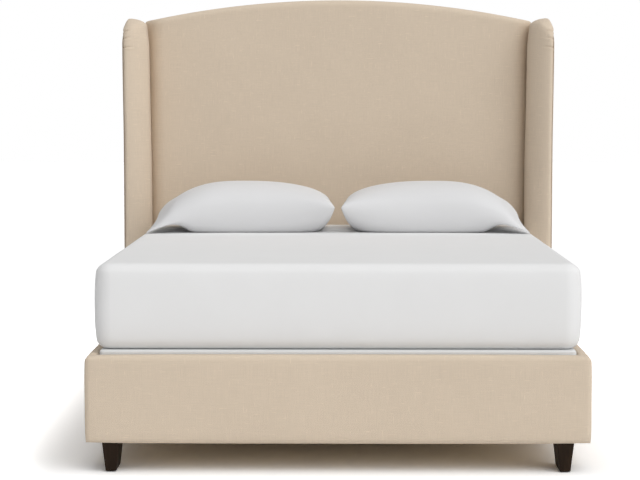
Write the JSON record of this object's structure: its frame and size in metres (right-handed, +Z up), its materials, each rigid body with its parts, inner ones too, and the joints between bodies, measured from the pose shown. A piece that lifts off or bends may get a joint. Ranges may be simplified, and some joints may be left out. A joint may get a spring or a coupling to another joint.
{
  "type": "upholstered storage bed",
  "caption": "Upholstered double bed with an arched headboard between padded wings, and a mattress platform that lifts at the foot on levers and gas struts over a storage well.",
  "frame": {"origin": "on the floor, under the middle of the bed's overall box", "axes": "+X to the right seen from the foot, +Y from the foot to the head, +Z up"},
  "size_m": [1.779, 2.191, 1.6],
  "materials": {
    "upholstery": "woven, matt",
    "welt": "woven cord cover, matt",
    "dark_wood": "satin espresso stain",
    "pine": "planed, unfinished",
    "plywood": "sanded, unfinished",
    "platform_cloth": "woven, matt",
    "mattress_ticking": "knitted, matt",
    "pillow_cotton": "plain cotton, matt",
    "black_steel": "powder coated, satin",
    "zinc_steel": "zinc plated",
    "strut_black": "gloss black",
    "rod_chrome": "polished",
    "glide_plastic": "moulded nylon"
  },
  "bodies": {
    "frame": {"footboard_core": "pine", "footboard_cover": "upholstery", "side_rail_core_left": "pine", "side_rail_core_right": "pine", "side_rail_cover_left": "upholstery", "side_rail_cover_right": "upholstery", "headboard_pad": "upholstery", "headboard_top_rail": "pine", "headboard_mid_rail": "pine", "headboard_bottom_rail": "pine", "headboard_stile_left": "pine", "headboard_stile_right": "pine", "headboard_back_panel": "upholstery", "wing_pad_left": "upholstery", "wing_pad_right": "upholstery", "wing_core_left": "plywood", "wing_core_right": "plywood", "wing_side_panel_left": "upholstery", "wing_side_panel_right": "upholstery", "wing_welt_left": "welt", "wing_welt_right": "welt", "front_leg_left": "dark_wood", "front_leg_right": "dark_wood", "rear_leg_left": "dark_wood", "rear_leg_right": "dark_wood", "centre_legs": "dark_wood", "leg_glides": "glide_plastic", "corner_blocks": "pine", "floor_bearers": "pine", "cross_bearers": "pine", "storage_floor_foot": "plywood", "storage_floor_middle": "plywood", "storage_floor_head": "plywood", "head_board": "plywood", "side_ledger_left": "pine", "side_ledger_right": "pine", "foot_ledger": "pine", "corner_brackets": "zinc_steel", "bracket_bolts": "zinc_steel", "hinge_plate_left": "black_steel", "hinge_plate_right": "black_steel", "hinge_pins": "zinc_steel"},
    "platform": {"deck_board": "plywood", "deck_cover": "platform_cloth", "platform_side_tubes": "black_steel", "platform_cross_tubes": "black_steel", "platform_arm_left": "black_steel", "platform_arm_right": "black_steel", "platform_pins": "zinc_steel", "mattress": "mattress_ticking", "pillow_left": "pillow_cotton", "pillow_right": "pillow_cotton"},
    "rear_lever_left": {"rear_lever_left": "black_steel"},
    "front_lever_left": {"front_lever_left": "black_steel"},
    "strut_cylinder_left": {"strut_cylinder_left": "strut_black"},
    "strut_rod_left": {"strut_rod_left": "rod_chrome"},
    "rear_lever_right": {"rear_lever_right": "black_steel"},
    "front_lever_right": {"front_lever_right": "black_steel"},
    "strut_cylinder_right": {"strut_cylinder_right": "strut_black"},
    "strut_rod_right": {"strut_rod_right": "rod_chrome"}
  },
  "joints": [
    {"name": "platform_lift", "type": "hinge", "parent": "frame", "child": "rear_lever_left", "pos_m": [0, 0.2735, 0.282], "axis": [1, 0, 0], "range_deg": [0, 74]},
    {"name": "rear_lever_right_turn", "type": "hinge", "parent": "frame", "child": "rear_lever_right", "pos_m": [0, 0.2735, 0.282], "axis": [1, 0, 0], "range_deg": [0, 74]},
    {"name": "platform_tilt", "type": "hinge", "parent": "rear_lever_left", "child": "platform", "pos_m": [0, 0.5615, 0.33], "axis": [1, 0, 0], "range_deg": [-103.6, 0]},
    {"name": "front_lever_left_turn", "type": "hinge", "parent": "frame", "child": "front_lever_left", "pos_m": [0, 0.1355, 0.149], "axis": [1, 0, 0], "range_deg": [0, 62.54]},
    {"name": "strut_left_turn", "type": "hinge", "parent": "frame", "child": "strut_cylinder_left", "pos_m": [0, 0.5215, 0.146], "axis": [1, 0, 0], "range_deg": [0, 69.16]},
    {"name": "strut_left_stroke", "type": "slide", "parent": "strut_cylinder_left", "child": "strut_rod_left", "axis": [0, 0.765, 0.644], "range_m": [0, 0.1158]},
    {"name": "front_lever_right_turn", "type": "hinge", "parent": "frame", "child": "front_lever_right", "pos_m": [0, 0.1355, 0.149], "axis": [1, 0, 0], "range_deg": [0, 62.54]},
    {"name": "strut_right_turn", "type": "hinge", "parent": "frame", "child": "strut_cylinder_right", "pos_m": [0, 0.5215, 0.146], "axis": [1, 0, 0], "range_deg": [0, 69.16]},
    {"name": "strut_right_stroke", "type": "slide", "parent": "strut_cylinder_right", "child": "strut_rod_right", "axis": [0, 0.765, 0.644], "range_m": [0, 0.1158]}
  ],
  "couplings": [
    {"joint": "rear_lever_right_turn", "follows": "platform_lift", "ratio": 1},
    {"joint": "platform_tilt", "follows": "platform_lift", "ratio": -1.4},
    {"joint": "front_lever_left_turn", "follows": "platform_lift", "ratio": 0.845},
    {"joint": "strut_left_turn", "follows": "platform_lift", "ratio": 0.9345},
    {"joint": "strut_left_stroke", "follows": "platform_lift", "m_per_rad": 0.0896},
    {"joint": "front_lever_right_turn", "follows": "platform_lift", "ratio": 0.845},
    {"joint": "strut_right_turn", "follows": "platform_lift", "ratio": 0.9345},
    {"joint": "strut_right_stroke", "follows": "platform_lift", "m_per_rad": 0.0896}
  ]
}
